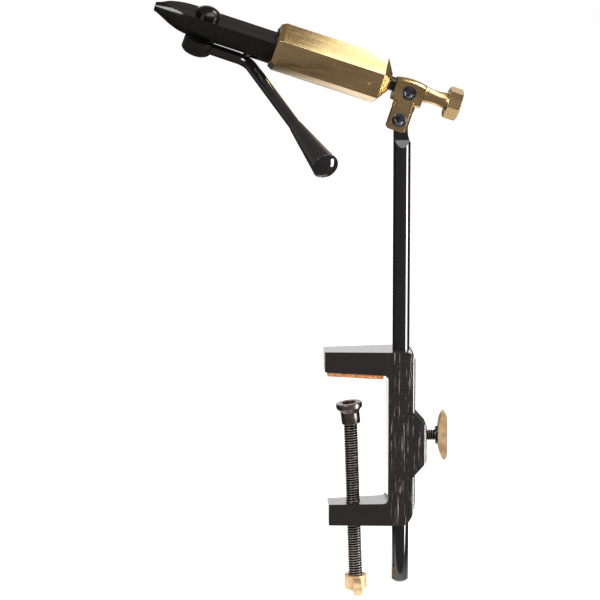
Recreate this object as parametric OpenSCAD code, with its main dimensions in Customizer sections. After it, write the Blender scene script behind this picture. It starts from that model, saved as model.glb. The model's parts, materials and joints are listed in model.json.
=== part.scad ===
// Fly tying vise: a rotary head with split jaws on a sliding post, held by a table clamp.
// Millimetres. The origin is the middle of the cork pad's lower face, +Z is up,
// +X points from the pad to the post, and the jaws point to -X.

/* [Table clamp] */
// Length of the upper arm from the pad's middle to its tip
upper_reach = 16.9; // [15.6:0.1:24]
// Length of the lower arm from the pad's middle to its tip
lower_reach = 14.7; // [10:0.1:24]
// Distance from the pad's middle to the inner face of the spine
throat_depth = 18; // [16.5:0.1:24]
// Distance from the pad's face to the lower arm
throat_height = 71.8; // [60:0.1:90]
// Thickness of the arms at the screw
arm_t = 12.3; // [9:0.1:16]
// Draft of the upper arm's lower face in degrees
arm_draft = 3; // [0:0.1:5]
// Draft of the lower arm's upper face in degrees
lower_draft = 1.2; // [0:0.1:5]
// Depth of the casting at the spine
spine_depth = 20; // [17:0.1:26]
// Depth of the casting at the tips of the arms
tip_depth = 14; // [12:0.1:18]
// Wall of the spine on the side of the throat
spine_wall = 2.84; // [2:0.05:5]
// Wall of the spine behind the post
back_wall = 2.8; // [2:0.05:5]
// Radius of the spine's upper rear corner
top_corner_r = 5.5; // [2:0.1:7]
// Radius of the fillets in the throat
throat_fillet_r = 2.5; // [1:0.1:5]
// Height over which the spine's lower rear corner is rounded
foot_curve_h = 15; // [10:0.5:24]
// How far that curve draws in at the bottom
foot_curve_in = 7.2; // [4:0.1:7.4]
// Rounding of the spine's rear edges as a share of half its depth
rear_round_share = 0.25; // [0.15:0.05:0.95]
// How far the thumb screw's boss stands out of the spine
boss_out = 6.4; // [3:0.1:9]
// Height of the flat face of the boss
boss_flat_h = 20; // [12:0.1:24]
// Height of each slope of the boss
boss_slope_h = 7.1; // [3:0.1:10]
// Depth of the boss's middle below the thumb screw's axis
boss_drop = 3.2; // [0:0.1:4]

/* [Table pad] */
// Distance from the upper arm's tip to the pad
pad_tip_gap = 1.5; // [0.5:0.1:4]
// Thickness of the cork pad
pad_t = 2.4; // [1.5:0.1:4]
// How far the pad stays inside the arm's edges
pad_inset = 0.6; // [0:0.1:2]

/* [Clamp screw] */
// Diameter of the clamp screw
clamp_screw_d = 7.94; // [6:0.01:9]
// Distance of the clamp screw from the pad's middle, towards the tips of the arms
screw_shift = 0.5; // [0:0.1:2]
// Lean of the clamp screw in degrees
screw_lean = 2; // [0:0.1:3]
// Length of the clamp screw from its ball to its wing knob
clamp_screw_l = 92.8; // [85:0.1:120]
// Gap between the pad and the cup at rest
pad_gap = 15.5; // [8:0.5:30]
// Diameter of the cup's rim
cup_d = 14.5; // [13:0.1:18]
// Height of the cup
cup_h = 11.8; // [10.5:0.1:16]
// Height of the cup's straight rim
cup_rim_h = 2.4; // [1:0.1:3]
// Height of the cup's flare
cup_flare_h = 3.6; // [3:0.1:7]
// Diameter of the cup's neck
cup_neck_d = 10.5; // [9.6:0.1:12]
// Diameter of the hole in the cup's face
cup_hole_d = 7.4; // [5:0.1:7.5]
// Tilt of the cup on its ball in degrees
cup_tilt = 4.7; // [0:0.1:5]
// Diameter of the ball on the clamp screw
ball_d = 7.6; // [6.5:0.1:7.8]
// Diameter of the screw's neck under the ball
ball_neck_d = 4.8; // [4:0.1:5]
// Depth of the ball's centre below the rim
ball_depth = 6; // [5:0.1:7]

/* [Wing knobs] */
// Span of the wings
wing_span = 26.7; // [22:0.1:34]
// Thickness of the clamp knob's wings seen along the screw
clamp_wing_w = 4.4; // [3:0.1:6]
// Thickness of the thumb knob's wings seen along the screw
thumb_wing_w = 9.4; // [9.2:0.1:12]
// Diameter of the clamp knob's hub
clamp_hub_d = 12.2; // [11:0.1:14]
// Diameter of the thumb knob's hub
thumb_hub_d = 9; // [8.5:0.1:9]
// Length of the clamp knob's hub
clamp_hub_h = 7.8; // [4.5:0.1:10]
// Length of the thumb knob's hub
thumb_hub_h = 5.3; // [4.5:0.1:8]
// Height of the clamp knob's wing tips
clamp_tip_t = 7.6; // [2:0.1:9]
// Height of the thumb knob's wing tips
thumb_tip_t = 3.2; // [1.5:0.1:4]
// Distance from the hub's near face to the middle of the clamp knob's tips
clamp_tip_a = 6.6; // [3:0.1:8]
// Distance from the hub's near face to the middle of the thumb knob's tips
thumb_tip_a = 3.6; // [2:0.1:6]
// Depth of the screws inside the knobs
knob_grip = 4; // [3:0.1:4.4]
// Turn of the clamp knob from the depth direction in degrees
wing_turn = 2; // [0:1:10]

/* [Thumb screw] */
// Diameter of the thumb screw
thumb_d = 6.35; // [5:0.01:7]
// Depth of the thumb screw's axis below the top of the clamp
thumb_drop = 49.5; // [40:0.1:55]
// Gap between the boss and the washer at rest
thumb_gap = 5.2; // [4.5:0.1:10]
// Diameter of the washer
washer_d = 10.1; // [9:0.1:12]
// Thickness of the washer
washer_t = 1.2; // [0.8:0.1:2]

/* [Post] */
// Diameter of the post
post_d = 9.525; // [9:0.005:10]
// Height of the pivot above the origin
pivot_height = 143.4; // [130:0.1:200]
// Length of post below the clamp
post_below = 34.2; // [30:0.1:60]
// Width of the chamfer at the post's lower end
post_chamfer = 1.3; // [0.5:0.1:2]
// Distance of the pivot from the post's axis, towards the jaws
pivot_shift = 2.1; // [0:0.05:2.2]
// Thickness of the tongue
tongue_t = 5; // [4.5:0.1:5.4]
// Distance from the pivot down to the foot of the tongue's flats
tongue_drop = 15.5; // [12:0.1:20]
// Height of the ramp at the foot of the flats
ramp_h = 4; // [2:0.1:6]
// Distance from the post's axis to the trimmed side of the tongue
trim_x = 3; // [2.6:0.05:4]
// Radius of the run-out of the trimmed side
trim_r = 14; // [8:0.5:20]
// Distance from the pivot down to the start of that run-out
trim_drop = 6.5; // [5:0.1:8]
// Radius of the tongue's round top
tongue_top_r = 5.4; // [4.6:0.1:5.8]

/* [Pivot block] */
// Tilt of the head in degrees
head_tilt = 18.8; // [-10:0.1:40]
// Distance from the pivot to the block's centre
block_rise = 15.6; // [14.6:0.1:18]
// Distance from the pivot to the block's centre along the shaft
block_shift = 0.4; // [0:0.1:1]
// Distance from the block's centre up to the shaft's axis
shaft_offset = 1.6; // [0:0.1:2]
// Length of the block along the shaft
block_l = 16.6; // [14:0.1:20]
// Diameter of the block at its middle
block_d = 15.3; // [14.5:0.1:16]
// Radius of the block's crown
crown_r = 31; // [15:0.5:40]
// Distance between the block's two milled flats
block_flat = 9.4; // [9:0.1:12.5]
// Diameter of the neck
neck_d = 12.6; // [12:0.1:14]
// Distance between the neck's two milled flats
neck_flat = 9.6; // [9.2:0.1:10.5]
// Length of the neck below the pivot
neck_below = 6.2; // [5.5:0.1:8]
// Height of the fork's slot above the pivot
slot_above = 6.1; // [5.8:0.05:6.6]
// Diameter of the pivot screw's head
pivot_head_d = 7.8; // [7:0.1:8.4]
// Height of the pivot screw's head
pivot_head_h = 2.2; // [1.6:0.1:3]
// Depth of that head in the ear
pivot_sink = 0.9; // [0.4:0.05:1.1]
// Diameter of the pivot screw's shank
pivot_d = 3; // [2.5:0.01:3.2]
// Diameter of the drag screw
drag_d = 7.94; // [6:0.01:9]
// Length of the drag screw
drag_l = 1.6; // [1.2:0.05:2]
// Depth of the drag screw's face below the flat
drag_sink = 0.2; // [0:0.05:0.4]
// Width of the sockets in the screws across their flats
socket_af = 4; // [3:0.05:5]

/* [Rotary shaft and barrel] */
// Diameter of the shaft in front of the block
shaft_d = 7.94; // [7:0.01:8.5]
// Diameter of the shaft inside the block
spindle_d = 4.76; // [4.5:0.01:5]
// Gap between the block and the barrel
shaft_gap = 3.1; // [2:0.1:8]
// Length of the barrel
barrel_l = 66.2; // [60:0.1:90]
// Width of the barrel across its flats
barrel_af = 24.2; // [23.6:0.1:28]
// Turn of the barrel about its axis in degrees
barrel_roll = 9; // [0:0.5:30]
// Length of the barrel's taper at the rear
rear_cone_l = 5.3; // [3:0.1:8]
// Distance from the barrel's axis to the sides of its rear face
rear_face_r = 4.6; // [4.4:0.1:6]
// Length of the barrel's taper at the front
front_cone_l = 2.7; // [1:0.1:4]
// Distance from the barrel's axis to the sides of its front face
front_face_r = 10.8; // [10.2:0.1:11.5]
// Diameter of the barrel's bore
barrel_bore_d = 18.4; // [18:0.1:19]
// Length of the barrel's solid rear end
barrel_solid_l = 17; // [14:0.1:20]
// Diameter of the barrel's set screw
grub_d = 3; // [2:0.1:4]
// Distance of that screw from the barrel's rear face
grub_back = 12.5; // [8:0.1:13]
// Depth of that screw's face below the flat
grub_sink = 0.4; // [0.1:0.05:1]

/* [Rear knob] */
// Length of the waisted neck
knob_neck_l = 13.1; // [10:0.1:18]
// Diameter of the neck at the block
knob_front_d = 9.5; // [8.5:0.1:10.5]
// Diameter of the waist
knob_waist_d = 8; // [7.4:0.1:8.4]
// Diameter of the neck at the head
knob_rear_d = 10; // [8.5:0.1:11]
// Width of the head across its flats
knob_af = 15.88; // [14:0.01:18]
// Thickness of the head
knob_head_t = 7.5; // [5:0.1:9]
// Turn of the head about its axis in degrees
knob_roll = 21; // [0:0.1:60]

/* [Jaws] */
// Length of the jaws in front of the barrel
jaw_reach = 68.3; // [60:0.1:90]
// Diameter of the jaws
jaw_d = 18.5; // [16.4:0.1:19]
// Radius of the tips
jaw_tip_r = 2.4; // [1.5:0.1:4]
// Length of the curved nose
nose_l = 21; // [15:0.5:26]
// Height of the top flat above the axis
jaw_flat_h = 4.3; // [3:0.1:5.5]
// Gap between the two jaws
split_gap = 0.4; // [0.1:0.05:0.6]
// Length of the square shank
shank_l = 14.5; // [8:0.1:20]
// Width of the square shank
shank_w = 16.2; // [15:0.1:16.4]
// Chamfer of the shank's lower edges
shank_chamfer = 3; // [2:0.1:4]
// Turn of the jaws about their axis in degrees
jaw_roll = 16; // [0:0.5:30]
// Diameter of the tenon inside the barrel
tenon_d = 17; // [15:0.1:17.2]
// Distance from the barrel's front face to the jaws' dowel
dowel_back = 12.7; // [9:0.1:16]
// Diameter of the dowel
dowel_d = 4; // [3:0.1:5]
// Distance from the dowel to the ends of the tails
tail_l = 32; // [20:0.1:33]
// Distance between the two tails
tail_gap = 5; // [4:0.1:7]
// Distance from the tails' ends to the spring
spring_back = 18; // [10:0.5:20]
// Diameter of the closing spring
spring_d = 6.4; // [5:0.1:7]
// Diameter of the spring's wire
spring_wire_d = 1.1; // [0.8:0.05:1.3]
// Depth of the pockets for the spring
spring_pocket = 3; // [2:0.1:4]
// Number of curls of the closing spring
spring_curls = 5; // [4:1:7]

/* [Cam lever] */
// Distance from the jaws' tips to the cam pin
pin_back = 28.8; // [25:0.1:40]
// Diameter of the pin's domed head
dome_d = 13.2; // [12:0.1:15.5]
// Height of the straight side of the head
dome_side_h = 2.2; // [0.6:0.1:5]
// Height of the dome
dome_h = 2.9; // [2:0.1:4]
// Thickness of the cam lobe
lobe_t = 4.8; // [4:0.1:5.5]
// Throw of the cam lobe to each side
lobe_throw = 1.15; // [0.8:0.05:1.3]
// Diameter of the cam pin inside the collar
pin_d = 6.35; // [5.5:0.01:7]
// Diameter of the collar
collar_d = 16.3; // [14:0.1:18]
// Height of the collar
collar_h = 8.3; // [7.4:0.1:10]
// Diameter of the lever's rod
rod_d = 6.6; // [5:0.1:6.8]
// Distance from the pin to the corner of the rod
rod_elbow = 28.7; // [24:0.1:36]
// Length of the rod from its corner to the grip
rod_free_l = 68.6; // [40:0.1:80]
// Radius of the rod's bend
rod_bend_r = 10; // [7:0.5:14]
// How much the bend thins the rod at each side
bend_thinning = 0.05; // [0.04:0.01:0.2]
// Angle of the rod's bend in degrees
rod_bend = 62.8; // [45:0.1:70]
// Turn of the rod about the pin in degrees
rod_turn = 1.4; // [0:0.1:10]
// Length of the grip
grip_l = 40.3; // [30:0.1:60]
// Diameter of the grip at the rod
grip_small_d = 7.4; // [7.2:0.1:10]
// Diameter of the grip at its end
grip_big_d = 14.4; // [12:0.1:18]
// Height of the grip's domed end
grip_dome_h = 3.4; // [2:0.1:6]
// Depth of the rod inside the grip
rod_grip_l = 20; // [10:0.5:25]

/* [Clearances] */
// Radial clearance of running fits
run_gap = 0.05; // [0.02:0.01:0.1]
// Gap between flat faces that turn or slide past each other
face_gap = 0.1; // [0.05:0.01:0.2]
// Gap between moving parts that don't bear on each other
free_gap = 0.3; // [0.2:0.05:0.5]
// Width of the small turned chamfers
edge = 0.5; // [0.2:0.05:0.8]

/* [Hidden] */
$fn = 64;
overrun = arm_t;

// Places of the clamp
post_x = throat_depth + spine_wall + post_d / 2;
spine_back = post_x + post_d / 2 + back_wall;
clamp_top = pad_t + arm_t;
lower_top = -throat_height;
clamp_bottom = lower_top - arm_t;
thumb_z = clamp_top - thumb_drop;
boss_face = spine_back + boss_out;
boss_z = thumb_z - boss_drop;
post_bottom = clamp_bottom - post_below;

// Places along the clamp screw, from the middle of the lower arm
screw_mid = lower_top - arm_t / 2;
cup_rim_a = -screw_mid - pad_gap;
ball_a = cup_rim_a - ball_depth;
clamp_knob_a = ball_a - clamp_screw_l;
neck_bottom_a = ball_a - (cup_h - ball_depth) - free_gap * 2;

// Places along the thumb screw
thumb_tip_x = post_x + post_d / 2 + face_gap;
washer_x = boss_face + thumb_gap;
thumb_hub_x = washer_x + washer_t + face_gap;

// Places along the head's axis, from the block's middle, with the rear positive
block_front_u = -block_l / 2;
barrel_rear_u = block_front_u - shaft_gap;
barrel_front_u = barrel_rear_u - barrel_l;
bore_end_u = barrel_rear_u - barrel_solid_l;
jaw_tip_u = barrel_front_u - jaw_reach;
pin_u = jaw_tip_u + pin_back;
shank_rear_u = barrel_front_u - free_gap;
shank_front_u = shank_rear_u - shank_l;
dowel_u = barrel_front_u + dowel_back;
tail_end_u = dowel_u + tail_l;
spring_u = tail_end_u - spring_back;
spring_l = tail_gap + 2 * spring_pocket - 2 * free_gap;
grub_u = barrel_rear_u - grub_back;

// Places along the cam pin, from the head's axis
lobe_half = lobe_t / 2 + lobe_throw;
collar_top = -jaw_d / 2 - free_gap;
collar_bottom = collar_top - collar_h;
collar_mid = collar_top - collar_h / 2;
dome_base = jaw_flat_h + face_gap;
dome_sphere_r = (dome_d * dome_d / 4 + dome_h * dome_h) / (2 * dome_h);

// Frames

module screw_frame() {
    translate([-screw_shift, 0, screw_mid]) rotate([0, -screw_lean, 0]) children();
}

module cup_frame() {
    screw_frame() translate([0, 0, ball_a]) rotate([0, -cup_tilt, 0])
        translate([0, 0, ball_depth]) children();
}

module pivot_frame() {
    translate([post_x - pivot_shift, 0, pivot_height]) rotate([0, head_tilt, 0]) children();
}

module block_frame() {
    pivot_frame() translate([block_shift, 0, block_rise]) children();
}

module head_frame(roll = 0) {
    block_frame() translate([0, 0, shaft_offset]) rotate([roll, 0, 0]) children();
}

module lever_frame() {
    head_frame(jaw_roll) translate([pin_u, 0, collar_mid])
        rotate([0, 0, -rod_turn]) children();
}

// General shapes

// A round bar along X from u0 to u1
module bar_x(u0, u1, r) {
    translate([u0, 0, 0]) rotate([0, 90, 0]) cylinder(h = u1 - u0, r = r);
}

// A round bar along Y from y0 to y1
module bar_y(y0, y1, r) {
    translate([0, y1, 0]) rotate([90, 0, 0]) cylinder(h = y1 - y0, r = r);
}

// A revolved outline, given as points of place along Z and radius
module turned_z(outline) {
    rotate_extrude() polygon([for (p = outline) [p[1], p[0]]]);
}

// The same along X
module turned_x(outline) {
    rotate([0, 90, 0]) turned_z(outline);
}

// A hexagonal prism along Z
module hexagon(h, af) {
    cylinder(h = h, r = af / 2 / cos(30), $fn = 6);
}

// The waste of a rounded corner whose edges meet at the origin and lie along -X and -Y
module corner_waste(r) {
    difference() {
        translate([-r, -r]) square([r + overrun, r + overrun]);
        translate([-r, -r]) circle(r);
    }
}

// Table clamp

module clamp_outline() {
    rise = tan(arm_draft);
    lower_rise = tan(lower_draft);
    difference() {
        union() {
            polygon([
                [-upper_reach, clamp_top],
                [-upper_reach, pad_t + upper_reach * rise],
                [throat_depth, pad_t - throat_depth * rise],
                [throat_depth, lower_top + throat_depth * lower_rise],
                [-lower_reach, lower_top - lower_reach * lower_rise],
                [-lower_reach, clamp_bottom],
                [spine_back, clamp_bottom],
                [spine_back, clamp_top]]);
            throat_fillet(pad_t - throat_depth * rise, 1);
            throat_fillet(lower_top + throat_depth * lower_rise, -1);
        }
        translate([spine_back, clamp_top]) corner_waste(top_corner_r);
        difference() {
            translate([spine_back - foot_curve_in, clamp_bottom - overrun])
                square([foot_curve_in + overrun, foot_curve_h + overrun]);
            translate([spine_back - foot_curve_in, clamp_bottom + foot_curve_h])
                scale([foot_curve_in / foot_curve_h, 1]) circle(foot_curve_h);
        }
    }
}

// A fillet of the throat at height z, with side 1 under the upper arm and -1 on the lower arm
module throat_fillet(z, side) {
    r = throat_fillet_r;
    translate([throat_depth, z]) scale([1, side]) difference() {
        translate([-r, -r]) square([r + edge, r + edge]);
        translate([-r, -r]) circle(r);
    }
}

// The boss's outline, whose slopes run on into the spine
module boss_outline() {
    root_half = boss_flat_h / 2 + boss_slope_h * (boss_face - post_x) / boss_out;
    polygon([
        [post_x, boss_z - root_half],
        [boss_face, boss_z - boss_flat_h / 2],
        [boss_face, boss_z + boss_flat_h / 2],
        [post_x, boss_z + root_half]]);
}

// The casting seen from above, with its rounded rear face at rear_x
module clamp_plan(rear_x) {
    tip_x = -upper_reach - overrun;
    round_r = rear_round_share * spine_depth / 2;
    polygon([
        [tip_x, -tip_depth / 2],
        [-upper_reach, -tip_depth / 2],
        [throat_depth, -spine_depth / 2],
        [throat_depth + edge, -spine_depth / 2],
        [throat_depth + edge, spine_depth / 2],
        [throat_depth, spine_depth / 2],
        [-upper_reach, tip_depth / 2],
        [tip_x, tip_depth / 2]]);
    for (side = [-1, 1])
        translate([rear_x - round_r, side * (spine_depth / 2 - round_r)]) circle(round_r, $fn = 96);
    translate([throat_depth, -spine_depth / 2])
        square([rear_x - round_r - throat_depth, spine_depth]);
    translate([throat_depth, round_r - spine_depth / 2])
        square([rear_x - throat_depth, spine_depth - 2 * round_r]);
}

// An outline seen from the front, cut to the casting's plan
module clamp_body(rear_x) {
    intersection() {
        rotate([90, 0, 0]) linear_extrude(height = spine_depth, center = true) children();
        translate([0, 0, clamp_bottom]) linear_extrude(height = clamp_top - clamp_bottom) clamp_plan(rear_x);
    }
}

module clamp_frame() {
    color("#1d1d1f") difference() {
        union() {
            clamp_body(spine_back) clamp_outline();
            clamp_body(boss_face) boss_outline();
        }
        translate([post_x, 0, clamp_bottom - overrun])
            cylinder(h = clamp_top - clamp_bottom + 2 * overrun, r = post_d / 2 + run_gap);
        screw_frame() translate([0, 0, -arm_t]) cylinder(h = 2 * arm_t, r = clamp_screw_d / 2 + run_gap);
        translate([0, 0, thumb_z]) bar_x(post_x, boss_face + overrun, thumb_d / 2 + run_gap);
    }
}

module table_pad() {
    draw_in = (spine_depth - tip_depth) / 2 / (upper_reach + throat_depth);
    root_x = throat_depth - throat_fillet_r - face_gap;
    tip_x = pad_tip_gap - upper_reach;
    root_half = spine_depth / 2 - (throat_depth - root_x) * draw_in - pad_inset;
    tip_half = spine_depth / 2 - (throat_depth - tip_x) * draw_in - pad_inset;
    color("#b5793f") rotate([0, arm_draft, 0]) linear_extrude(height = pad_t * cos(arm_draft)) polygon([
        [root_x, -root_half],
        [root_x, root_half],
        [tip_x, tip_half],
        [tip_x, -tip_half]]);
}

// Clamp screw, with its ball at the top

module clamp_screw() {
    color("#3a332f") screw_frame() {
        turned_z([
            [clamp_knob_a - knob_grip, 0],
            [clamp_knob_a - knob_grip, clamp_screw_d / 2],
            [neck_bottom_a - edge, clamp_screw_d / 2],
            [neck_bottom_a, clamp_screw_d / 2 - edge],
            [neck_bottom_a, ball_neck_d / 2],
            [ball_a, ball_neck_d / 2],
            [ball_a, 0]]);
        translate([0, 0, ball_a]) sphere(d = ball_d);
    }
}

module swivel_cup() {
    socket_r = ball_d / 2 + run_gap;
    mouth_r = ball_neck_d / 2 + (cup_h - ball_depth) * tan(cup_tilt) + free_gap;
    color("#57534f") cup_frame() difference() {
        rotate_extrude() polygon([
            [0, 0],
            [cup_d / 2 - edge, 0],
            [cup_d / 2, -edge],
            [cup_d / 2, -cup_rim_h],
            [cup_neck_d / 2, -cup_rim_h - cup_flare_h],
            [cup_neck_d / 2, -cup_h + edge],
            [cup_neck_d / 2 - edge, -cup_h],
            [0, -cup_h]]);
        translate([0, 0, -ball_depth]) sphere(r = socket_r);
        translate([0, 0, -ball_depth]) cylinder(h = ball_depth + overrun, r = cup_hole_d / 2);
        translate([0, 0, -cup_h - overrun])
            cylinder(h = overrun + cup_h - ball_depth, r = mouth_r);
    }
}

// Wing knobs

// The outline of the wings: x runs along the span and y along the screw
module wing_outline(hub_h, tip_t, tip_a) {
    steps = 16;
    function swing(i) = 90 * (2 * i / steps - 1);
    function share(i) = sin(swing(i));
    function middle(i) = hub_h / 2 + (tip_a - hub_h / 2) * pow(share(i), 2);
    function half(i) = (hub_h + (tip_t - hub_h) * pow(share(i), 2)) / 2 * sqrt(max(0, 1 - pow(share(i), 8)));
    polygon(concat(
        [for (i = [0:steps]) [share(i) * wing_span / 2, middle(i) - half(i)]],
        [for (i = [steps - 1:-1:1]) [share(i) * wing_span / 2, middle(i) + half(i)]]));
}

// A wing knob: the screw comes in at the origin and the knob reaches up Z
module wing_knob(width, hub_r, hub_h, tip_t, tip_a, screw_r) {
    difference() {
        union() {
            rotate([90, 0, 0]) linear_extrude(height = width, center = true)
                wing_outline(hub_h, tip_t, tip_a);
            turned_z([[0, 0], [0, hub_r], [hub_h - edge, hub_r], [hub_h, hub_r - edge], [hub_h, 0]]);
        }
        translate([0, 0, -overrun]) cylinder(h = overrun + knob_grip, r = screw_r);
    }
}

module clamp_wing_knob() {
    color("#d9ad68") screw_frame() translate([0, 0, clamp_knob_a]) rotate([180, 0, 90 + wing_turn])
        wing_knob(clamp_wing_w, clamp_hub_d / 2, clamp_hub_h, clamp_tip_t, clamp_tip_a, clamp_screw_d / 2);
}

module thumb_wing_knob() {
    color("#d0a765") translate([thumb_hub_x, 0, thumb_z]) rotate([0, 90, 0])
        wing_knob(thumb_wing_w, thumb_hub_d / 2, thumb_hub_h, thumb_tip_t, thumb_tip_a, thumb_d / 2);
}

// Thumb screw

module thumb_screw() {
    color("#2b2725") translate([0, 0, thumb_z]) turned_x([
        [thumb_tip_x, 0],
        [thumb_tip_x, thumb_d / 2 - edge],
        [thumb_tip_x + edge, thumb_d / 2],
        [thumb_hub_x + knob_grip, thumb_d / 2],
        [thumb_hub_x + knob_grip, 0]]);
}

module thumb_washer() {
    color("#2b2a2a") translate([0, 0, thumb_z]) difference() {
        bar_x(washer_x, washer_x + washer_t, washer_d / 2);
        bar_x(washer_x - overrun, washer_x + overrun, thumb_d / 2 + run_gap);
    }
}

// Post

module post() {
    foot_z = pivot_height - tongue_drop;
    top_z = pivot_height + tongue_top_r;
    color("#131314") difference() {
        translate([post_x, 0, 0]) turned_z([
            [post_bottom, 0],
            [post_bottom, post_d / 2 - post_chamfer],
            [post_bottom + post_chamfer, post_d / 2],
            [top_z, post_d / 2],
            [top_z, 0]]);
        for (side = [-1, 1]) tongue_waste(side, foot_z, top_z);
        translate([post_x, 0, pivot_height - trim_drop]) trim_waste();
        translate([post_x - pivot_shift, 0, pivot_height]) {
            bar_y(-post_d, post_d, pivot_d / 2 + run_gap);
            difference() {
                translate([-post_d, -post_d, 0]) cube([2 * post_d, 2 * post_d, 2 * tongue_top_r]);
                bar_y(-2 * post_d, 2 * post_d, tongue_top_r);
            }
        }
    }
}

// The metal milled off one side of the tongue, with a ramp at its foot
module tongue_waste(side, foot_z, top_z) {
    rotate([90, 0, 90]) translate([0, 0, post_x - post_d]) linear_extrude(height = 2 * post_d) polygon([
        [side * post_d / 2, foot_z],
        [side * tongue_t / 2, foot_z + ramp_h],
        [side * tongue_t / 2, top_z + overrun],
        [side * post_d, top_z + overrun],
        [side * post_d, foot_z]]);
}

// The metal trimmed off the rear side of the tongue, with a curved run-out
module trim_waste() {
    translate([trim_x + trim_r, 0, 0]) bar_y(-post_d, post_d, trim_r);
    translate([trim_x, -post_d, 0]) cube([post_d, 2 * post_d, trim_drop + 2 * tongue_top_r]);
}

// Pivot block

// A barrel-shaped turning along X whose outline is an arc of radius crown_r
module crowned_bar() {
    rotate([0, 90, 0]) rotate_extrude() intersection() {
        translate([block_d / 2 - crown_r, 0]) circle(crown_r, $fn = 180);
        translate([0, -block_l / 2]) square([block_d, block_l]);
    }
}

module pivot_block() {
    color("#c8a368") difference() {
        union() {
            block_frame() intersection() {
                crowned_bar();
                cube([2 * block_l, block_flat, 2 * block_d], center = true);
            }
            pivot_frame() translate([block_shift, 0, 0]) intersection() {
                turned_z([
                    [-neck_below, 0],
                    [-neck_below, neck_d / 2 - edge],
                    [edge - neck_below, neck_d / 2],
                    [block_rise - drag_d / 2 - edge, neck_d / 2],
                    [block_rise - drag_d / 2 - edge, 0]]);
                cube([2 * neck_d, neck_flat, 4 * block_rise], center = true);
            }
        }
        head_frame() bar_x(-block_l, block_l, spindle_d / 2 + run_gap);
        pivot_frame() {
            translate([-neck_d, -tongue_t / 2 - face_gap, -neck_below - overrun])
                cube([2 * neck_d, tongue_t + 2 * face_gap, neck_below + overrun + slot_above]);
            bar_y(-neck_d, neck_flat / 2 + overrun, pivot_d / 2);
            bar_y(-neck_d, -neck_flat / 2 + pivot_sink, pivot_head_d / 2);
        }
        block_frame() {
            bar_y(-block_d, -block_flat / 2 + drag_sink + drag_l, drag_d / 2);
            bar_y(-block_d, -spindle_d / 4, socket_af / 2);
        }
    }
}

module pivot_screw() {
    under_head = -neck_flat / 2 + pivot_sink;
    color("#26262b") pivot_frame() difference() {
        union() {
            bar_y(under_head - pivot_head_h, under_head, pivot_head_d / 2);
            bar_y(under_head, neck_flat / 2 - edge, pivot_d / 2);
        }
        translate([0, under_head - edge, 0]) rotate([90, 0, 0]) hexagon(overrun, socket_af);
    }
}

module drag_screw() {
    face_y = -block_flat / 2 + drag_sink;
    color("#26262b") block_frame() difference() {
        bar_y(face_y, face_y + drag_l, drag_d / 2);
        translate([0, face_y + drag_l - edge, 0]) rotate([90, 0, 0]) hexagon(overrun, socket_af);
    }
}

module drag_plug() {
    color("#e8e4d8") block_frame() difference() {
        bar_y(-block_flat / 2 + drag_sink + drag_l, -spindle_d / 4, socket_af / 2);
        translate([0, 0, shaft_offset]) bar_x(-block_l, block_l, spindle_d / 2 + run_gap);
    }
}

// Rotary shaft and rear knob

module rotary_shaft() {
    shoulder_u = block_front_u - face_gap;
    end_u = block_l / 2 + knob_neck_l;
    color("#1b1b1c") head_frame() turned_x([
        [bore_end_u, 0],
        [bore_end_u, shaft_d / 2],
        [shoulder_u, shaft_d / 2],
        [shoulder_u, spindle_d / 2],
        [end_u, spindle_d / 2],
        [end_u, 0]]);
}

module rear_knob() {
    u0 = block_l / 2 + face_gap;
    u1 = block_l / 2 + knob_neck_l;
    u2 = u1 + knob_head_t;
    face_r = (knob_af - edge) / 2;
    peak_r = face_r + (knob_af / 2 / cos(30) - face_r) * knob_head_t / 2 / edge;
    waist_half_l = (u1 - u0) / 2 - edge;
    sag = (min(knob_front_d, knob_rear_d) - knob_waist_d) / 2;
    waist_r = (pow(waist_half_l, 2) + sag * sag) / (2 * sag);
    color("#d2a559") head_frame() difference() {
        union() {
            rotate([0, 90, 0]) rotate_extrude() difference() {
                polygon([
                    [0, u0],
                    [knob_front_d / 2, u0],
                    [knob_rear_d / 2, u1],
                    [knob_rear_d / 2, u1 + edge],
                    [0, u1 + edge]]);
                translate([knob_waist_d / 2 + waist_r, (u0 + u1) / 2]) circle(waist_r, $fn = 120);
            }
            intersection() {
                translate([u1, 0, 0]) rotate([0, 90, 0]) rotate([0, 0, -knob_roll])
                    hexagon(knob_head_t, knob_af);
                turned_x([[u1, 0], [u1, face_r], [(u1 + u2) / 2, peak_r], [u2, face_r], [u2, 0]]);
            }
        }
        bar_x(0, u1 + face_gap, spindle_d / 2 + run_gap);
    }
}

// Barrel

module hex_barrel() {
    corner_r = barrel_af / 2 / cos(30);
    color("#b98f4d") head_frame(barrel_roll) difference() {
        turned_x([
            [barrel_front_u, 0],
            [barrel_front_u, front_face_r / cos(30)],
            [barrel_front_u + front_cone_l, corner_r],
            [barrel_rear_u - rear_cone_l, corner_r],
            [barrel_rear_u, rear_face_r / cos(30)],
            [barrel_rear_u, 0]], $fn = 6);
        bar_x(barrel_front_u - overrun, bore_end_u, barrel_bore_d / 2);
        bar_x(bore_end_u - overrun, barrel_rear_u + overrun, shaft_d / 2);
        translate([grub_u, 0, 0]) bar_y(-barrel_af, -shaft_d / 2, grub_d / 2);
        rotate([jaw_roll - barrel_roll, 0, 0]) dowel_bar(overrun);
    }
}

module barrel_set_screw() {
    color("#242428") head_frame(barrel_roll) translate([grub_u, 0, 0]) difference() {
        bar_y(-barrel_af / 2 + grub_sink, -shaft_d / 2, grub_d / 2);
        translate([0, -barrel_af / 2 + grub_sink + edge, 0]) rotate([90, 0, 0]) hexagon(overrun, grub_d / 2);
    }
}

// The dowel's own bar, drilled in from below and blind above, with its foot carried on by more
module dowel_bar(more = 0) {
    foot_z = edge - barrel_af / 2 - more;
    translate([dowel_u, 0, foot_z]) cylinder(h = barrel_af / 2 - 3 * edge - foot_z, r = dowel_d / 2);
}

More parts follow.
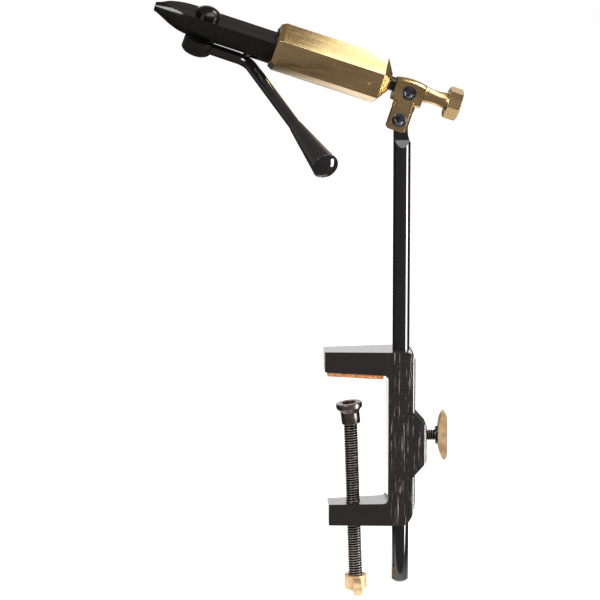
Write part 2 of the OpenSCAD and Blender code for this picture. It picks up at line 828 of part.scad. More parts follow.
module jaw_dowel() {
    color("#8e9094") head_frame(jaw_roll) dowel_bar();
}

// Jaws

// The radius of the nose at a share of its length
function nose_r(share) = jaw_tip_r + (jaw_d / 2 - jaw_tip_r) * pow(sin(90 * share), 1.2);

module jaw_body() {
    steps = 10;
    shank_bottom = -jaw_d / 2;
    intersection() {
        turned_x(concat(
            [[jaw_tip_u, 0]],
            [for (i = [0:steps]) [jaw_tip_u + nose_l * i / steps, nose_r(i / steps)]],
            [[shank_front_u + face_gap, jaw_d / 2], [shank_front_u + face_gap, 0]]));
        translate([jaw_tip_u, -jaw_d, -jaw_d])
            cube([jaw_reach, 2 * jaw_d, jaw_d + jaw_flat_h]);
    }
    translate([shank_front_u, 0, 0]) rotate([90, 0, 90]) linear_extrude(height = shank_l) polygon([
        [-shank_w / 2, jaw_flat_h],
        [-shank_w / 2, shank_bottom + shank_chamfer],
        [-shank_w / 2 + shank_chamfer, shank_bottom],
        [shank_w / 2 - shank_chamfer, shank_bottom],
        [shank_w / 2, shank_bottom + shank_chamfer],
        [shank_w / 2, jaw_flat_h]]);
    bar_x(shank_rear_u - face_gap, tail_end_u, tenon_d / 2);
}

// One jaw: side -1 is the one towards the front, side 1 the one behind it
module jaw_half(side) {
    pocket_half = lobe_t / 2 + face_gap;
    relief_half = tail_gap / 2;
    split_y = split_gap / 2;
    dowel_r = dowel_d / 2 + run_gap;
    head_frame(jaw_roll) difference() {
        intersection() {
            jaw_body();
            translate([jaw_tip_u - overrun, side > 0 ? split_y : -jaw_d, -jaw_d])
                cube([tail_end_u - jaw_tip_u + 2 * overrun, jaw_d - split_y, 2 * jaw_d]);
        }
        translate([pin_u - lobe_half - free_gap, -pocket_half, -jaw_d])
            cube([2 * (lobe_half + free_gap), 2 * pocket_half, 2 * jaw_d]);
        translate([dowel_u, 0, -jaw_d]) cylinder(h = 2 * jaw_d, r = dowel_r);
        translate([dowel_u, -2 * split_gap, -jaw_d]) cube([tail_l + overrun, 4 * split_gap, 2 * jaw_d]);
        translate([dowel_u + dowel_d, -relief_half, -jaw_d])
            cube([tail_l + overrun, 2 * relief_half, 2 * jaw_d]);
        translate([spring_u, 0, 0])
            bar_y(-relief_half - spring_pocket, relief_half + spring_pocket, spring_d / 2 + free_gap);
    }
}

module jaw_near() {
    color("#161617") jaw_half(-1);
}

module jaw_far() {
    color("#1a1a1b") jaw_half(1);
}

// The closing spring pushes the tails of the jaws apart, which shuts their tips
module closing_spring() {
    sides = 6;
    rings_per_curl = 8;
    rings = spring_curls * rings_per_curl;
    coil_r = (spring_d - spring_wire_d) / 2;
    wire_r = spring_wire_d / 2;
    rise = spring_l - spring_wire_d;
    function turn(i) = 360 * i / rings_per_curl;
    function ring(i) = [for (k = [0:sides - 1])
        let (reach = coil_r + wire_r * cos(360 * k / sides))
        [reach * cos(turn(i)),
         rise * (i / rings - 1 / 2) + wire_r * sin(360 * k / sides),
         reach * sin(turn(i))]];
    points = [for (i = [0:rings]) each ring(i)];
    walls = [for (i = [0:rings - 1]) for (k = [0:sides - 1])
        let (a = i * sides + k, b = i * sides + (k + 1) % sides)
        each [[a, b, b + sides], [a, b + sides, a + sides]]];
    ends = [for (k = [1:sides - 2])
        each [[0, k + 1, k], [rings * sides, rings * sides + k, rings * sides + k + 1]]];
    color("#9a9ca0") head_frame(jaw_roll) translate([spring_u, 0, 0])
        polyhedron(points = points, faces = concat(walls, ends));
}

// Cam pin and lever

module cam_pin() {
    stem_bottom = collar_bottom + edge;
    lobe_bottom = collar_top + face_gap;
    lobe_foot = lobe_bottom - face_gap / 2;
    lobe_h = dome_base + edge - lobe_foot;
    color("#1d1d1f") head_frame(jaw_roll) translate([pin_u, 0, 0]) {
        translate([0, 0, dome_base]) rotate_extrude() intersection() {
            translate([0, dome_side_h + dome_h - dome_sphere_r]) circle(dome_sphere_r, $fn = 120);
            square([dome_d / 2, dome_side_h + dome_h]);
        }
        for (side = [-1, 1])
            translate([side * lobe_throw, 0, lobe_foot]) cylinder(h = lobe_h, r = lobe_t / 2);
        translate([-lobe_throw, -lobe_t / 2, lobe_foot]) cube([2 * lobe_throw, lobe_t, lobe_h]);
        translate([0, 0, stem_bottom]) cylinder(h = lobe_bottom - stem_bottom, r = pin_d / 2);
    }
}

module lever_collar() {
    color("#242425") difference() {
        head_frame(jaw_roll) translate([pin_u, 0, collar_bottom]) difference() {
            turned_z([
                [0, 0],
                [0, collar_d / 2 - 2 * edge],
                [2 * edge, collar_d / 2],
                [collar_h, collar_d / 2],
                [collar_h, 0]]);
            translate([0, 0, edge]) cylinder(h = collar_h + overrun, r = pin_d / 2);
        }
        lever_frame() bar_x(pin_d / 4, collar_d, rod_d / 2);
    }
}

// The rod runs along X, bends towards -Y and goes on to the grip
module lever_rod() {
    tangent_l = rod_bend_r * tan(rod_bend / 2);
    start_u = rod_elbow - tangent_l;
    color("#1b1b1c") lever_frame() {
        bar_x(pin_d / 2, start_u + edge, rod_d / 2);
        translate([start_u, -rod_bend_r, 0]) rotate([0, 0, 90 - rod_bend])
            rotate_extrude(angle = rod_bend) translate([rod_bend_r, 0]) circle(rod_d / 2 - bend_thinning);
        translate([rod_elbow, 0, 0]) rotate([0, 0, -rod_bend])
            bar_x(tangent_l - edge, rod_free_l + rod_grip_l, rod_d / 2);
    }
}

module lever_grip() {
    steps = 16;
    dome_r = (grip_big_d * grip_big_d / 4 + grip_dome_h * grip_dome_h) / (2 * grip_dome_h);
    dome_angle = asin(grip_big_d / 2 / dome_r);
    dome_mid = grip_l + grip_dome_h - dome_r;
    function swing(i) = dome_angle * (1 - i / steps);
    color("#0f0f10") lever_frame() translate([rod_elbow, 0, 0]) rotate([0, 0, -rod_bend])
        translate([rod_free_l, 0, 0]) difference() {
            turned_x(concat(
                [[0, 0], [0, (grip_small_d - edge) / 2], [edge, grip_small_d / 2], [grip_l, grip_big_d / 2]],
                [for (i = [1:steps]) [dome_mid + dome_r * cos(swing(i)), dome_r * sin(swing(i))]]));
            bar_x(-overrun, rod_grip_l, rod_d / 2);
        }
}

clamp_frame();
table_pad();
swivel_cup();
clamp_screw();
clamp_wing_knob();
thumb_washer();
thumb_screw();
thumb_wing_knob();
post();
pivot_block();
pivot_screw();
drag_screw();
drag_plug();
rotary_shaft();
rear_knob();
hex_barrel();
barrel_set_screw();
jaw_near();
jaw_far();
jaw_dowel();
closing_spring();
cam_pin();
lever_collar();
lever_rod();
lever_grip();
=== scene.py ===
import json
import math

import bmesh
import bpy
from mathutils import Matrix, Vector


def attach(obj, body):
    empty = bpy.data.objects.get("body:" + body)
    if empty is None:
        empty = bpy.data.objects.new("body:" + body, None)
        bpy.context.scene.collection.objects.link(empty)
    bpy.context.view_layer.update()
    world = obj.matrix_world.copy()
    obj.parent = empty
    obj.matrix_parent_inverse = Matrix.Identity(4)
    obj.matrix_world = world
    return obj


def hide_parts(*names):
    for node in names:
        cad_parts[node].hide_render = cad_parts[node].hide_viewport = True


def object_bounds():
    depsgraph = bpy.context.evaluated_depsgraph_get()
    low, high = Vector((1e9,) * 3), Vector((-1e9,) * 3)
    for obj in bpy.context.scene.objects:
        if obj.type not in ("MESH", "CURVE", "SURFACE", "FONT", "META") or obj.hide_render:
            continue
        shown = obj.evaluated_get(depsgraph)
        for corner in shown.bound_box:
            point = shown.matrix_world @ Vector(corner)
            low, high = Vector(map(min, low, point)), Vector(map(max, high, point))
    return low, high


bl_info = {
    "name": "Fly Tying Vise",
    "version": (1, 0, 0),
    "blender": (4, 5, 0),
    "location": "View3D > Sidebar > Vise",
    "description": "Dresses the packed vise with threads, rounded edges, finishes and a studio",
    "category": "Object",
}

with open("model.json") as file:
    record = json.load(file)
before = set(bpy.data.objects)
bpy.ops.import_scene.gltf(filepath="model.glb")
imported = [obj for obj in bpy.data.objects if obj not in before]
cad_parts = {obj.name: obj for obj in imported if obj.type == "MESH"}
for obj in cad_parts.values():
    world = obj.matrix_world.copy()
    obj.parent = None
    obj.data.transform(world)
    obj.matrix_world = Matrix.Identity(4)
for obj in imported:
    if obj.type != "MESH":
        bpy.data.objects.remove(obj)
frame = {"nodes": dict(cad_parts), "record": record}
CAD_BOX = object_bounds()
MM = 0.001
CAD_MERGE = 0.002 * MM
OWN_MERGE = 0.003 * MM
CLAMP_SCREW_RADIUS = 3.97 * MM
CLAMP_THREAD_TOP = -5.9 * MM
THUMB_SCREW_RADIUS = 3.175 * MM

# Most noise lies between these two values, so a range from one to the other uses its whole swing
LOW, HIGH = 0.35, 0.65

# Turned outlines as radius and height from the middle of the ball, in millimetres
BALL_END = [
    (0, -6.0), (3.3, -6.0), (3.3, -5.7), (2.4, -5.7), (2.4, -2.9), (2.9, -2.45), (3.35, -1.8), (3.65, -1.05),
    (3.8, 0), (3.65, 1.05), (3.35, 1.8), (2.9, 2.45), (2.3, 3.0), (1.2, 3.6), (0, 3.8)]
CUP = [
    (3.2, -5.8), (4.85, -5.8), (5.12, -5.68), (5.25, -5.4), (5.25, 0.1), (5.4, 0.8), (5.8, 1.6), (6.5, 2.5),
    (7.05, 3.1), (7.22, 3.5), (7.25, 3.8), (7.25, 5.55), (7.12, 5.86), (6.8, 6.0), (4.0, 6.0), (3.78, 5.9),
    (3.7, 5.65), (3.7, 1.1), (3.85, 0.0), (3.6, -1.35), (3.2, -2.15), (3.2, -5.8)]

BEHAVIOUR = frame["record"]["behaviour"]
BODY = {node: body for body, nodes in BEHAVIOUR["bodies"].items() for node in nodes}
JOINT = {joint["name"]: joint for joint in BEHAVIOUR["joints"]}
MOUNT = {mount["name"]: mount for mount in frame["record"]["mounts"]}


def axis_frame(place, axis):
    """A frame at a place, with its Z along the axis and its Y near the depth direction."""
    z = Vector(axis).normalized()
    x = Vector((0, 1, 0)).cross(z).normalized()
    turn = Matrix((x, z.cross(x), z)).transposed()
    return Matrix.Translation(Vector(place)) @ turn.to_4x4()


# Settings that a user would change

class ViseSizes(bpy.types.PropertyGroup):
    clamp_pitch: bpy.props.FloatProperty(
        name="Clamp screw pitch", description="Distance between the threads of the clamp screw",
        default=1.411 * MM, unit="LENGTH", precision=5)
    clamp_thread_depth: bpy.props.FloatProperty(
        name="Clamp thread depth", description="Depth of the clamp screw's thread",
        default=0.9 * MM, unit="LENGTH", precision=5)
    thumb_pitch: bpy.props.FloatProperty(
        name="Thumb screw pitch", description="Distance between the threads of the thumb screw",
        default=1.27 * MM, unit="LENGTH", precision=5)
    thumb_thread_depth: bpy.props.FloatProperty(
        name="Thumb thread depth", description="Depth of the thumb screw's thread",
        default=0.75 * MM, unit="LENGTH", precision=5)
    machined_round: bpy.props.FloatProperty(
        name="Machined edge", description="Radius of the broken edges of machined pieces",
        default=0.22 * MM, unit="LENGTH", precision=5)
    cast_round: bpy.props.FloatProperty(
        name="Cast edge", description="Radius of the soft edges of castings",
        default=0.9 * MM, unit="LENGTH", precision=5)
    barrel_round: bpy.props.FloatProperty(
        name="Barrel edge", description="Width of the rounding of the barrel's long edges",
        default=1.1 * MM, unit="LENGTH", precision=5)


class ViseColours(bpy.types.PropertyGroup):
    enamel: bpy.props.StringProperty(
        name="Enamel", description="Colour of the clamp's enamel, as hex", default="#1c1a1a")
    # Painted highlight: the colour of the light streaks painted on the spine
    enamel_streak_highlight: bpy.props.StringProperty(
        name="Spine streak highlight", description="Colour of the painted highlight streaks on the spine, as hex",
        default="#b9b6b4")
    cork: bpy.props.StringProperty(
        name="Cork", description="Colour of the cork pad, as hex", default="#c8824a")
    cork_light: bpy.props.StringProperty(
        name="Light cork", description="Colour of the lighter granules, as hex", default="#e0a873")
    cork_dark: bpy.props.StringProperty(
        name="Cork pores", description="Colour of the pores in the cork, as hex", default="#5e3013")
    brass: bpy.props.StringProperty(
        name="Brass", description="Colour of the barrel, block and rear knob, as hex", default="#ecd49c")
    cast_brass: bpy.props.StringProperty(
        name="Cast brass", description="Colour of the wing knobs, as hex", default="#fadcae")
    tarnish: bpy.props.StringProperty(
        name="Tarnish", description="Colour of the brass where it has tarnished, as hex", default="#b8935c")
    oxide: bpy.props.StringProperty(
        name="Black oxide", description="Colour of the blackened steel, as hex", default="#3c3c3b")
    screw_oxide: bpy.props.StringProperty(
        name="Blue oxide", description="Colour of the two socket screws, as hex", default="#787b87")
    oxide_worn: bpy.props.StringProperty(
        name="Thin oxide", description="Colour of that steel where the oxide is uneven, as hex",
        default="#333534")
    oiled: bpy.props.StringProperty(
        name="Oiled steel", description="Colour of the clamp screw and the cup, as hex", default="#938a85")
    oiled_stain: bpy.props.StringProperty(
        name="Stained steel", description="Colour of that steel in its stains, as hex", default="#6a625d")
    # Painted shade in the thread roots and a painted highlight on the thread crests, used in oiled_steel
    thread_root_shade: bpy.props.StringProperty(
        name="Thread roots", description="Colour of the painted shade in the thread roots, as hex", default="#0d0b0a")
    thread_crest_highlight: bpy.props.StringProperty(
        name="Thread crests", description="Colour of the painted highlight on the thread crests, as hex", default="#ddd5cc")
    bright: bpy.props.StringProperty(
        name="Ground steel", description="Colour of the dowel and the spring, as hex", default="#c4c6ca")
    nylon: bpy.props.StringProperty(
        name="Nylon", description="Colour of the drag plug, as hex", default="#e8e3d6")
    lacquer: bpy.props.StringProperty(
        name="Gloss black", description="Colour of the post, the rod and the grip, as hex", default="#101011")


class ViseStage(bpy.types.PropertyGroup):
    azimuth: bpy.props.FloatProperty(
        name="Azimuth", description="The camera's angle round the vise", default=math.radians(-3.5),
        subtype="ANGLE", unit="ROTATION")
    elevation: bpy.props.FloatProperty(
        name="Elevation", description="The camera's angle above the vise", default=math.radians(12.5),
        subtype="ANGLE", unit="ROTATION")
    distance: bpy.props.FloatProperty(
        name="Distance", description="From the camera to the point it looks at", default=2.3, unit="LENGTH")
    lens: bpy.props.FloatProperty(
        name="Lens", description="Focal length in millimetres on a 36 mm sensor", default=251.0)
    target: bpy.props.FloatVectorProperty(
        name="Target", description="The point at the middle of the picture",
        default=(-0.0302, 0.0, 0.0428), subtype="TRANSLATION", unit="LENGTH")
    room: bpy.props.FloatProperty(
        name="Room", description="How bright shiny surfaces see the room in front of the vise",
        default=0.2, min=0.0, max=1.0)
    warmth: bpy.props.StringProperty(
        name="Room colour", description="Colour of the room in front of the vise, as hex", default="#ffefee")
    floor: bpy.props.StringProperty(
        name="Floor", description="Colour of the floor, as hex", default="#f4f4f4")


def sizes():
    return bpy.context.scene.vise_sizes


def colours():
    return bpy.context.scene.vise_colours


# Materials

def srgb(text):
    """A hex colour as linear red, green, blue and alpha."""
    parts = [int(text[i:i + 2], 16) / 255 for i in (1, 3, 5)]
    return tuple(c / 12.92 if c <= 0.04045 else ((c + 0.055) / 1.055) ** 2.4 for c in parts) + (1.0,)


def plug(tree, node, values):
    """Fills a node's inputs; a value is a constant, an output socket, or a node for its first live output."""
    for key, value in values.items():
        if isinstance(value, bpy.types.Node):
            value = next(socket for socket in value.outputs if socket.enabled)
        if isinstance(value, bpy.types.NodeSocket):
            tree.links.new(value, node.inputs[key])
        else:
            node.inputs[key].default_value = value


def add(tree, kind, values=None, **settings):
    """A new node with its settings and its inputs."""
    node = tree.nodes.new("ShaderNode" + kind)
    for key, value in settings.items():
        setattr(node, key, value)
    plug(tree, node, values or {})
    return node


def material(name):
    """A new material, its node tree and its shader."""
    mat = bpy.data.materials.new(name)
    mat.use_nodes = True
    return mat, mat.node_tree, mat.node_tree.nodes["Principled BSDF"]


def grain(tree, size_mm, stretch=(1, 1, 1), turn=(0, 0, 0), detail=3.0, rough=0.55):
    """Grain about size_mm across, stretched along the turned axes."""
    coords = add(tree, "TexCoord").outputs["Object"]
    turned_back = add(tree, "Mapping", {"Vector": coords, "Rotation": turn})
    drawn_out = add(tree, "Mapping", {"Vector": turned_back, "Scale": tuple(1 / share for share in stretch)})
    return add(tree, "TexNoise", {
        "Vector": drawn_out, "Scale": 1 / (size_mm * MM), "Detail": detail, "Roughness": rough})


def sand_cast_enamel():
    # Satin black enamel over a sand casting: the sand shows through the paint as a fine speckle in
    # the reflections, and along the spine light upright streaks are painted into the base colour as a painted
    # highlight.
    mat, tree, shader = material("Satin black enamel on sand casting")
    sand = grain(tree, 0.5, detail=4)
    strokes = grain(tree, 0.35, stretch=(1, 1, 45), detail=3, rough=0.7)
    across = add(tree, "SeparateXYZ", {0: add(tree, "TexCoord").outputs["Object"]}).outputs["X"]
    spine = add(tree, "MapRange", {0: across, 1: 17 * MM, 2: 20 * MM, 3: 0.0, 4: 1.0})
    # Painted highlight: light upright streaks on the spine beyond 17 mm across, standing in for a lamp's
    # reflections
    streak_highlight = add(tree, "MapRange", {0: strokes, 1: 0.615, 2: 0.685, 3: 0.0, 4: 1.0})
    painted_streaks = add(tree, "Math", {0: spine, 1: streak_highlight}, operation="MULTIPLY")
    both = add(tree, "Math", {0: sand, 1: strokes}, operation="ADD")
    shades = {0: painted_streaks, 6: srgb(colours().enamel), 7: srgb(colours().enamel_streak_highlight)}
    plug(tree, shader, {
        "Base Color": add(tree, "Mix", shades, data_type="RGBA"),
        "IOR": 1.5, "Coat Weight": 1.0, "Coat Roughness": 0.1,
        "Roughness": add(tree, "MapRange", {0: sand, 1: LOW, 2: HIGH, 3: 0.14, 4: 0.34}),
        "Normal": add(tree, "Bump", {"Height": both, "Distance": 0.06 * MM})})
    return mat


def pressed_cork():
    # Pressed cork: granules of different browns about a millimetre across with dark pores between
    # them, quite matt and a little rough.
    mat, tree, shader = material("Pressed cork")
    coords = add(tree, "TexCoord").outputs["Object"]
    granules = add(tree, "TexVoronoi", {"Vector": coords, "Scale": 1 / (1.1 * MM)}).outputs["Color"]
    shade = add(tree, "SeparateColor", {"Color": granules}).outputs["Red"]
    pores = grain(tree, 0.9, detail=5, rough=0.75)
    granule = {0: shade, 6: srgb(colours().cork), 7: srgb(colours().cork_light)}
    body = add(tree, "Mix", granule, data_type="RGBA")
    open_pores = add(tree, "MapRange", {0: pores, 1: 0.38, 2: 0.47, 3: 1.0, 4: 0.0})
    pored = {0: open_pores, 6: body, 7: srgb(colours().cork_dark)}
    plug(tree, shader, {
        "Base Color": add(tree, "Mix", pored, data_type="RGBA"),
        "Roughness": 0.85, "Normal": add(tree, "Bump", {"Height": pores, "Distance": 0.3 * MM})})
    return mat


def drawn_brass(name, marks_mm=0.35):
    # Drawn and polished brass bar, not lacquered: fine marks along the bar stretch its highlights
    # across them, and handling has tarnished it browner in slow patches.
    mat, tree, shader = material(name)
    axis = JOINT["head_turn"]["axis"]
    turn = (0, math.atan2(axis[2], axis[0]), 0)
    marks = grain(tree, marks_mm, stretch=(60, 1, 1), turn=turn, detail=4, rough=0.65)
    handled = grain(tree, 11.0, stretch=(2, 1, 1), turn=turn, detail=5, rough=0.6)
    patch = add(tree, "MapRange", {0: handled, 1: LOW, 2: HIGH, 3: 0.0, 4: 0.5})
    groove = add(tree, "MapRange", {0: marks, 1: LOW, 2: HIGH, 3: 0.25, 4: 0.0})
    tarnish = srgb(colours().tarnish)
    body = add(tree, "Mix", {0: patch, 6: srgb(colours().brass), 7: tarnish}, data_type="RGBA")
    plug(tree, shader, {
        "Base Color": add(tree, "Mix", {0: groove, 6: body, 7: tarnish}, data_type="RGBA"),
        "Metallic": 1.0, "Roughness": add(tree, "MapRange", {0: marks, 1: LOW, 2: HIGH, 3: 0.17, 4: 0.27}),
        "Normal": add(tree, "Bump", {"Height": marks, "Distance": 0.012 * MM})})
    return mat


def cast_brass():
    # Tumbled cast brass: satin highlights on a faint orange-peel skin, with darker tone in the lows.
    mat, tree, shader = material("Tumbled cast brass")
    skin = grain(tree, 0.6, detail=4)
    patch = add(tree, "MapRange", {0: grain(tree, 5.0), 1: LOW, 2: HIGH, 3: 0.0, 4: 0.6})
    shades = {0: patch, 6: srgb(colours().cast_brass), 7: srgb(colours().tarnish)}
    plug(tree, shader, {
        "Base Color": add(tree, "Mix", shades, data_type="RGBA"),
        "Metallic": 0.85, "Roughness": add(tree, "MapRange", {0: skin, 1: LOW, 2: HIGH, 3: 0.42, 4: 0.6}),
        "Normal": add(tree, "Bump", {"Height": skin, "Distance": 0.03 * MM})})
    return mat


def blackened_steel(name, tone=None, low=0.13, high=0.2):
    # Hot black oxide over machined steel: almost black, with a dull sheen that clouds where the
    # oxide took unevenly.
    mat, tree, shader = material(name)
    cloud = add(tree, "MapRange", {0: grain(tree, 4.0, detail=4), 1: LOW, 2: HIGH, 3: 0.0, 4: 1.0})
    fine = grain(tree, 0.4)
    shades = {0: cloud, 6: srgb(tone or colours().oxide), 7: srgb(colours().oxide_worn)}
    plug(tree, shader, {
        "Base Color": add(tree, "Mix", shades, data_type="RGBA"),
        "Metallic": 0.9, "Roughness": add(tree, "MapRange", {0: fine, 1: LOW, 2: HIGH, 3: low, 4: high}),
        "Normal": add(tree, "Bump", {"Height": fine, "Distance": 0.006 * MM})})
    return mat


def oiled_steel():
    # Oiled steel, darkened in use: grey with stains and soft tool marks round the piece. The roots of its
    # threads are painted near black as painted shade, and their crests painted light as a painted highlight.
    mat, tree, shader = material("Dark oiled steel")
    rings = grain(tree, 0.3, stretch=(20, 20, 1))
    stain = add(tree, "MapRange", {0: grain(tree, 3.0, detail=4), 1: LOW, 2: HIGH, 3: 0.0, 4: 1.0})
    stained = {0: stain, 6: srgb(colours().oiled), 7: srgb(colours().oiled_stain)}
    body = add(tree, "Mix", stained, data_type="RGBA")
    # Painted shade and painted highlight: the base colour goes near black in the thread roots and light on
    # the crests
    height = add(tree, "Attribute", attribute_name="thread_height").outputs["Fac"]
    in_root = add(tree, "MapRange", {0: height, 1: 0.4, 2: 0.85, 3: 1.0, 4: 0.0})
    cut = add(tree, "Attribute", attribute_name="threaded").outputs["Fac"]
    root = add(tree, "Math", {0: cut, 1: in_root}, operation="MULTIPLY")
    crest = add(tree, "MapRange", {0: height, 1: 0.85, 2: 1.0, 3: 0.0, 4: 0.5})
    crest_highlighted = add(tree, "Mix", {0: crest, 6: body, 7: srgb(colours().thread_crest_highlight)}, data_type="RGBA")
    root_shaded = {0: root, 6: crest_highlighted, 7: srgb(colours().thread_root_shade)}
    plug(tree, shader, {
        "Base Color": add(tree, "Mix", root_shaded, data_type="RGBA"),
        "Metallic": 1.0, "Roughness": add(tree, "MapRange", {0: rings, 1: LOW, 2: HIGH, 3: 0.22, 4: 0.36}),
        "Normal": add(tree, "Bump", {"Height": rings, "Distance": 0.01 * MM})})
    return mat


def ground_steel():
    # Centreless ground steel: light grey, with fine marks round the bar that soften its shine.
    mat, tree, shader = material("Ground steel")
    marks = grain(tree, 0.2, stretch=(8, 8, 1))
    plug(tree, shader, {
        "Base Color": srgb(colours().bright), "Metallic": 1.0,
        "Roughness": add(tree, "MapRange", {0: marks, 1: LOW, 2: HIGH, 3: 0.16, 4: 0.3})})
    return mat


def cut_nylon():
    # Natural nylon cut from rod: milky and slightly waxy, with light passing a little way in.
    mat, tree, shader = material("Natural nylon cut from rod")
    plug(tree, shader, {
        "Base Color": srgb(colours().nylon),
        "Roughness": add(tree, "MapRange", {0: grain(tree, 1.0), 1: LOW, 2: HIGH, 3: 0.4, 4: 0.5}),
        "Subsurface Weight": 0.15, "Subsurface Radius": (0.5 * MM, 0.5 * MM, 0.5 * MM)})
    return mat


def gloss_black(name, rough=0.06):
    # Stoved gloss enamel under a clear coat: deep black with clear reflections that ripple slightly.
    mat, tree, shader = material(name)
    dust = grain(tree, 0.5, detail=4)
    plug(tree, shader, {
        "Base Color": srgb(colours().lacquer), "IOR": 1.5, "Coat Weight": 1.0, "Coat Roughness": rough,
        "Roughness": add(tree, "MapRange", {0: dust, 1: LOW, 2: HIGH, 3: rough, 4: rough + 0.06}),
        "Normal": add(tree, "Bump", {"Height": grain(tree, 3.0, detail=2), "Distance": 0.012 * MM})})
    return mat


# Meshes

def cad_copy(node):
    """A merged copy of a CAD node's mesh, with its flat faces made whole."""
    bm = bmesh.new()
    bm.from_mesh(frame["nodes"][node].data)
    bmesh.ops.remove_doubles(bm, verts=bm.verts, dist=CAD_MERGE)
    bmesh.ops.dissolve_limit(
        bm, angle_limit=math.radians(0.6), verts=bm.verts, edges=bm.edges, use_dissolve_boundaries=False)
    return bm


def round_edges(bm, width, angle=28, segments=2, where=None):
    """Rounds every edge that is sharper than the angle and lies where asked."""
    sharp = [e for e in bm.edges if len(e.link_faces) == 2 and e.calc_face_angle(0) > math.radians(angle)
             and (where is None or where(e))]
    bmesh.ops.bevel(bm, geom=sharp, offset=width, offset_type="OFFSET", segments=segments, profile=0.5,
                    affect="EDGES", clamp_overlap=True, material=-1)


def piece(name, bm, mat, node, smooth_angle=35):
    """Makes an object of a bmesh, on the node's body and with its slot, in place of the node."""
    mesh = bpy.data.meshes.new(name)
    bm.to_mesh(mesh)
    bm.free()
    mesh.materials.append(mat)
    for face in mesh.polygons:
        face.use_smooth = True
    mesh.set_sharp_from_angle(angle=math.radians(smooth_angle))
    obj = bpy.data.objects.new(name, mesh)
    bpy.context.collection.objects.link(obj)
    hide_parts(node)
    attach(obj, BODY[node])
    return obj


def dressed(node, mat, width, segments=2):
    """A CAD node again, with its edges rounded."""
    bm = cad_copy(node)
    round_edges(bm, width, segments=segments)
    obj = piece(node + "_finish", bm, mat, node)
    modifier = obj.modifiers.new("Even shading", "WEIGHTED_NORMAL")
    modifier.keep_sharp = True


def painted(node, mat):
    """Gives a CAD node its material and leaves its mesh alone."""
    data = frame["nodes"][node].data
    data.materials.clear()
    data.materials.append(mat)


def thread(place, radius, depth, pitch, start, end, steps=28):
    """A right-handed thread along the place's Z from start to end, cut flat at both ends."""
    bm = bmesh.new()
    turns = math.ceil((end - start) / pitch) + 2
    low = start - pitch
    outline = [(radius - depth, 0.0), (radius - depth * 0.06, 0.40), (radius, 0.45),
               (radius, 0.55), (radius - depth * 0.06, 0.60), (radius - depth, 1.0)]
    points = [bm.verts.new((r, 0, low + share * pitch)) for r, share in outline]
    edges = [bm.edges.new(pair) for pair in zip(points, points[1:])]
    bmesh.ops.spin(bm, geom=points + edges, cent=(0, 0, 0), axis=(0, 0, 1), dvec=(0, 0, pitch / steps),
                   angle=math.tau * turns, steps=steps * turns, use_merge=False, use_duplicate=False)
    bmesh.ops.remove_doubles(bm, verts=bm.verts, dist=OWN_MERGE)
    for level, direction in ((start, -1), (end, 1)):
        bmesh.ops.bisect_plane(bm, geom=bm.verts[:] + bm.edges[:] + bm.faces[:], plane_co=(0, 0, level),
                               plane_no=(0, 0, direction), clear_outer=True)
    bmesh.ops.holes_fill(bm, edges=[e for e in bm.edges if e.is_boundary])
    bmesh.ops.recalc_face_normals(bm, faces=bm.faces)
    height = bm.verts.layers.float.new("thread_height")
    threaded = bm.verts.layers.float.new("threaded")
    for vert in bm.verts:
        vert[height] = 1 - (radius - vert.co.xy.length) / depth
        vert[threaded] = 1.0
    bmesh.ops.transform(bm, matrix=place, verts=bm.verts)
    return bm


def turned(bm, place, outline, steps=48):
    """Adds a closed turning round the place's Z, from points of radius and height in millimetres."""
    own = bmesh.new()
    points = [own.verts.new((r * MM, 0, z * MM)) for r, z in outline]
    edges = [own.edges.new(pair) for pair in zip(points, points[1:])]
    bmesh.ops.spin(own, geom=points + edges, cent=(0, 0, 0), axis=(0, 0, 1), angle=math.tau, steps=steps,
                   use_merge=True)
    bmesh.ops.remove_doubles(own, verts=own.verts, dist=OWN_MERGE)
    bmesh.ops.recalc_face_normals(own, faces=own.faces)
    bmesh.ops.transform(own, matrix=place, verts=own.verts)
    mesh = bpy.data.meshes.new("turning")
    own.to_mesh(mesh)
    own.free()
    bm.from_mesh(mesh)
    bpy.data.meshes.remove(mesh)


def ends_along(node, place):
    """The lowest and highest place of a node along a frame's Z."""
    back = place.inverted()
    heights = [(back @ v.co).z for v in frame["nodes"][node].data.vertices]
    return min(heights), max(heights)


# Pieces

class VISE_OT_clamp(bpy.types.Operator):
    """Dresses the clamp's casting and its cork pad"""
    bl_idname = "vise.clamp"
    bl_label = "Clamp"

    def execute(self, context):
        dressed("clamp_frame", sand_cast_enamel(), sizes().cast_round, segments=3)
        dressed("table_pad", pressed_cork(), 0.25 * MM)
        return {"FINISHED"}


